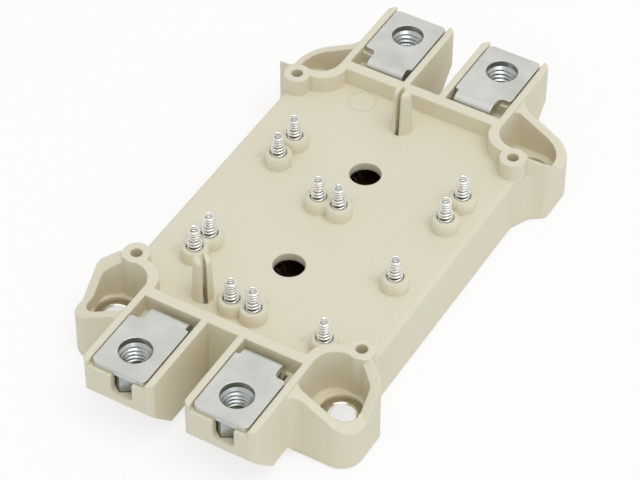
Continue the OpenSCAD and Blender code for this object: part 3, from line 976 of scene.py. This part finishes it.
@dataclass
class ContactSprings:
    """Twelve coils of round wire, each wide in its tower and narrow at its free end."""

    wire: float = 0.48
    coil: float = 2.6
    neck: float = 1.9
    shoulder: float = 16.7
    open_turns: float = 12.4
    turns: float = 18.2
    end_wires: float = 1.5
    narrow_after: float = 0.6
    narrow_by: float = 2.0
    steps: int = 22
    sides: int = 8
    count: int = 12
    finish: PlatedMetal = SILVER

    def _tree(self, material: bpy.types.Material) -> GeometryTree:
        """Builds the tree that winds a coil on every point.

        Args:
            material: the wire's finish.

        Returns:
            The tree, with inputs for the coil's sizes.
        """
        tree = GeometryTree("coil_on_points")
        wire, coil, neck = (tree.size(n) for n in ("Wire", "Coil", "Neck"))
        shoulder, tip = tree.size("Shoulder"), tree.size("Tip")
        opened, turns = tree.size("Open turns"), tree.size("Turns")
        steps, sides = (tree.size(n, "NodeSocketInt") for n in ("Steps", "Sides"))
        half = tree.math("DIVIDE", wire, 2.0)
        count = tree.math("MULTIPLY", turns, steps)
        line = tree.add("GeometryNodeCurvePrimitiveLine")
        path = tree.fill(tree.add("GeometryNodeResampleCurve"), Curve=line.outputs[0],
                         Count=tree.math("ADD", count, 1.0))
        turn = tree.math("DIVIDE", tree.add("GeometryNodeInputIndex").outputs[0], steps)
        last = tree.math("SUBTRACT", turns, 1.0)
        ends = tree.math("MULTIPLY", wire, self.end_wires)
        rise_1 = tree.math("MULTIPLY", wire, tree.span(turn, 0.0, 1.0))
        rise_2 = tree.math("MULTIPLY", tree.span(turn, 1.0, opened),
                           tree.math("SUBTRACT", shoulder, ends))
        rise_3 = tree.math("MULTIPLY", tree.span(turn, opened, last),
                           tree.math("SUBTRACT", tree.math("SUBTRACT", tip, shoulder),
                                     ends))
        rise_4 = tree.math("MULTIPLY", wire, tree.span(turn, last, turns))
        height = tree.math("ADD", tree.math("ADD", tree.math("ADD", half, rise_1), rise_2),
                           tree.math("ADD", rise_3, rise_4))
        narrow = tree.span(turn, tree.math("ADD", opened, self.narrow_after),
                           tree.math("ADD", opened, self.narrow_by), smooth=True)
        across = tree.math("SUBTRACT", coil, tree.math(
            "MULTIPLY", tree.math("SUBTRACT", coil, neck), narrow))
        radius = tree.math("DIVIDE", across, 2.0)
        angle = tree.math("MULTIPLY", turn, 2 * math.pi)
        place = tree.fill(tree.add("ShaderNodeCombineXYZ"),
                          X=tree.math("MULTIPLY", radius, tree.math("COSINE", angle)),
                          Y=tree.math("MULTIPLY", radius, tree.math("SINE", angle)),
                          Z=height)
        wound = tree.fill(tree.add("GeometryNodeSetPosition"), Geometry=path.outputs[0],
                          Position=place.outputs[0])
        section = tree.fill(tree.add("GeometryNodeCurvePrimitiveCircle"),
                            Resolution=sides, Radius=half)
        swept = tree.fill(tree.add("GeometryNodeCurveToMesh"), Curve=wound.outputs[0],
                          Profile_Curve=section.outputs[0], Fill_Caps=True)
        tree.spread(swept.outputs[0], material)
        return tree

    def build(self, effects: SharedEffects) -> None:
        """Winds all the springs.

        Args:
            effects: the shared groups.
        """
        nodes = [f"contact_spring_{i}" for i in range(1, self.count + 1)]
        feet = [middle(n) for n in nodes]
        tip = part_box(nodes[0])[1][2] - feet[0][2]
        tree = self._tree(self.finish.build(effects))
        piece = tree.make("contact_springs", feet, {
            "Wire": self.wire * MM, "Coil": self.coil * MM, "Neck": self.neck * MM,
            "Shoulder": self.shoulder * MM - feet[0][2], "Tip": tip,
            "Open turns": self.open_turns, "Turns": self.turns,
            "Steps": self.steps, "Sides": self.sides})
        keep(piece, Slot.SPRING, *nodes)


@dataclass
class TerminalNuts:
    """Four captive hexagon nuts with a right-hand thread."""

    across_flats: float = 10.0
    height: float = 5.0
    minor: float = 5.0
    major: float = 6.0
    pitch: float = 1.0
    mouth: float = 6.6
    mouth_slope: float = 1.1
    flank_slope: float = 1.35
    crest: float = 0.12
    cone: float = 30.0
    cone_rows: tuple[float, ...] = (0.0, 0.08, 0.16, 0.24, 0.34, 0.45)
    columns: int = 72
    rows_per_pitch: int = 8
    finish: PlatedMetal = ZINC

    def _ring(self, radius: Callable[[float], float], z: float) -> list[Point]:
        """Gives one ring of points round the axis.

        Args:
            radius: the radius for each angle, in millimetres.
            z: the ring's height in millimetres.

        Returns:
            The points of the ring.
        """
        turn = 2 * math.pi / self.columns
        return [(radius(i * turn) * math.cos(i * turn),
                 radius(i * turn) * math.sin(i * turn), z) for i in range(self.columns)]

    def _bore(self, angle: float, z: float) -> float:
        """Gives the bore's radius on the thread or in the mouth of the hole.

        Args:
            angle: place round the axis.
            z: height in the nut.

        Returns:
            The radius in millimetres.
        """
        wave = (z / self.pitch - angle / (2 * math.pi)) % 1.0
        flank = min(max(abs(2 * wave - 1) * self.flank_slope - self.crest, 0.0), 1.0)
        thread = (self.minor + (self.major - self.minor) * flank) / 2
        from_face = min(z, self.height - z)
        return max(thread, self.mouth / 2 - from_face * self.mouth_slope)

    def _side(self, angle: float, z: float) -> float:
        """Gives the radius of the hexagon, cut by the cone at each face.

        Args:
            angle: place round the axis.
            z: height in the nut.

        Returns:
            The radius in millimetres.
        """
        flat = self.across_flats / 2
        within = (angle + math.pi / 6) % (math.pi / 3) - math.pi / 6
        hexagon = flat / math.cos(math.pi / 6 - abs(within))
        from_face = min(z, self.height - z)
        return min(hexagon, flat + from_face / math.tan(math.radians(self.cone)))

    def _pattern(self) -> bpy.types.Object:
        """Builds one nut on its own axis, with its lower face at zero.

        Returns:
            The nut, a closed mesh in metres.
        """
        rows = int(self.height / self.pitch * self.rows_per_pitch)
        rings = [self._ring(lambda a, z=self.height * k / rows: self._bore(a, z),
                            self.height * k / rows) for k in range(rows + 1)]
        heights = [self.height - s for s in self.cone_rows] + list(reversed(self.cone_rows))
        rings += [self._ring(lambda a, z=z: self._side(a, z), z) for z in heights]
        shape = bmesh.new()
        add_rings(shape, rings)
        return link_mesh("nut_pattern", shape)

    def build(self, effects: SharedEffects) -> None:
        """Sets a nut in each pocket.

        Args:
            effects: the shared groups.
        """
        pattern = self._pattern()
        tree = GeometryTree("nut_on_points")
        tree.size("Nut", "NodeSocketObject")
        brought = tree.fill(tree.add("GeometryNodeObjectInfo"),
                            Object=tree.source.outputs["Nut"])
        tree.spread(brought.outputs["Geometry"], self.finish.build(effects))
        nodes = [f"terminal_nut_{i}" for i in range(1, 5)]
        piece = tree.make("terminal_nuts", [middle(n) for n in nodes], {"Nut": pattern})
        bpy.data.objects.remove(pattern)
        for polygon in piece.data.polygons:
            polygon.use_smooth = False
        keep(piece, Slot.STEEL, *nodes)


@dataclass
class PowerStack:
    """Ceramics, copper, chips, wires and sensor on the baseplate."""

    chips: int = 4

    def build(self, effects: SharedEffects) -> None:
        """Dresses what lies under the lid.

        Args:
            effects: the shared groups.
        """
        # the ceramic finish carries painted shade
        ceramic = CERAMIC.build(effects)
        copper = COPPER.build(effects)
        silicon = SILICON.build(effects)
        for side in (1, 2):
            dress(f"substrate_{side}", ceramic)
            dress(f"copper_tracks_{side}", copper)
        for number in range(1, self.chips + 1):
            dress(f"igbt_chip_{number}", silicon)
            dress(f"diode_chip_{number}", silicon)
        dress("bond_wires", ALUMINIUM.build(effects))
        dress("temperature_sensor", ceramic)


@dataclass
class Studio:
    """Pale floor, soft light and the camera."""

    floor_size: float = 3.0
    floor_tone: float = 0.93
    floor_glow: float = 0.75
    sky: float = 0.68
    sky_tone: Colour = (1.0, 0.985, 0.95)
    key_power: float = 6.6
    key_size: float = 0.9
    key_at: Point = (-0.16, -0.42, 1.25)
    camera_at: Point = (-0.34714, -0.19983, 0.40349)
    looks: Point = (0.61472, 0.35695, -0.70336)
    upright: Point = (0.60585, 0.35731, 0.71083)
    lens: float = 161.05
    sensor: float = 36.0
    seen_from: float = 0.01
    seen_to: float = 20.0
    stage: list[bpy.types.Object] = field(default_factory=list)

    def _floor(self) -> None:
        """Lays pale paper that seems brighter to the camera and in reflections than it is."""
        mesh = bpy.data.meshes.new("floor")
        half = self.floor_size / 2
        mesh.from_pydata([(-half, -half, 0), (half, -half, 0), (half, half, 0),
                          (-half, half, 0)], [], [(0, 1, 2, 3)])
        floor = bpy.data.objects.new("floor", mesh)
        bpy.context.scene.collection.objects.link(floor)
        material = bpy.data.materials.new("floor_paper")
        material.use_nodes = True
        material.node_tree.nodes.clear()
        nodes = Nodes(material.node_tree)
        paper = nodes.add("ShaderNodeBsdfDiffuse")
        paper.inputs["Color"].default_value = rgba((self.floor_tone,) * 3)
        glow = nodes.add("ShaderNodeEmission")
        path = nodes.add("ShaderNodeLightPath")
        both = nodes.add("ShaderNodeMixShader")
        seen = nodes.math("MAXIMUM", path.outputs["Is Camera Ray"],
                          path.outputs["Is Glossy Ray"])
        nodes.put(both.inputs[0], nodes.math("MULTIPLY", seen, self.floor_glow))
        nodes.put(both.inputs[1], paper.outputs[0])
        nodes.put(both.inputs[2], glow.outputs[0])
        nodes.put(nodes.add("ShaderNodeOutputMaterial").inputs["Surface"], both.outputs[0])
        mesh.materials.append(material)
        self.stage.append(floor)

    def _world(self) -> None:
        """Sets an even warm sky that the camera, gloss and glass see at full strength."""
        world = bpy.data.worlds.new("studio")
        bpy.context.scene.world = world
        world.use_nodes = True
        world.node_tree.nodes.clear()
        nodes = Nodes(world.node_tree)
        path = nodes.add("ShaderNodeLightPath")
        seen = nodes.math("MAXIMUM", path.outputs["Is Camera Ray"], nodes.math(
            "MAXIMUM", path.outputs["Is Glossy Ray"], path.outputs["Is Transmission Ray"]))
        sky = nodes.add("ShaderNodeBackground")
        sky.inputs["Color"].default_value = rgba(self.sky_tone)
        nodes.put(sky.inputs["Strength"], nodes.span(seen, 0.0, 1.0, self.sky, 1.0))
        nodes.put(nodes.add("ShaderNodeOutputWorld").inputs["Surface"], sky.outputs[0])

    def _light(self, name: str, place: Point, size: float, power: float) -> None:
        """Hangs a square soft light that faces the part.

        Args:
            name: the light's name.
            place: where it hangs, in metres.
            size: length of its side in metres.
            power: its power in watts.
        """
        lamp = bpy.data.lights.new(name, "AREA")
        lamp.size = size
        lamp.energy = power
        holder = bpy.data.objects.new(name, lamp)
        holder.location = place
        holder.rotation_euler = Vector(place).to_track_quat("Z", "Y").to_euler()
        bpy.context.scene.collection.objects.link(holder)

    def _camera(self) -> None:
        """Sets the camera where it looks along its line of sight, upright."""
        ahead = Vector(self.looks).normalized()
        right = ahead.cross(Vector(self.upright)).normalized()
        above = right.cross(ahead)
        turn = Matrix((right, above, -ahead)).transposed().to_4x4()
        lens = bpy.data.cameras.new("camera")
        lens.lens = self.lens
        lens.sensor_width = self.sensor
        lens.clip_start = self.seen_from
        lens.clip_end = self.seen_to
        camera = bpy.data.objects.new("camera", lens)
        camera.matrix_world = Matrix.Translation(self.camera_at) @ turn
        bpy.context.scene.collection.objects.link(camera)
        bpy.context.scene.camera = camera

    def build(self) -> None:
        """Builds the studio round the part."""
        bpy.context.scene.view_settings.view_transform = "Standard"
        self._floor()
        self._world()
        self._light("key", self.key_at, self.key_size, self.key_power)
        self._camera()
        LOG.info("studio ready")


def main() -> None:
    """Builds the part's looks and the studio."""
    logging.basicConfig(level=logging.INFO, format="%(name)s: %(message)s")
    effects = SharedEffects()
    Case().build(effects)
    LidMarks().build(effects)
    Terminals().build(effects)
    MountingSleeves().build(effects)
    ContactSprings().build(effects)
    TerminalNuts().build(effects)
    PowerStack().build(effects)
    Studio().build()


if __name__ == "__main__":
    main()
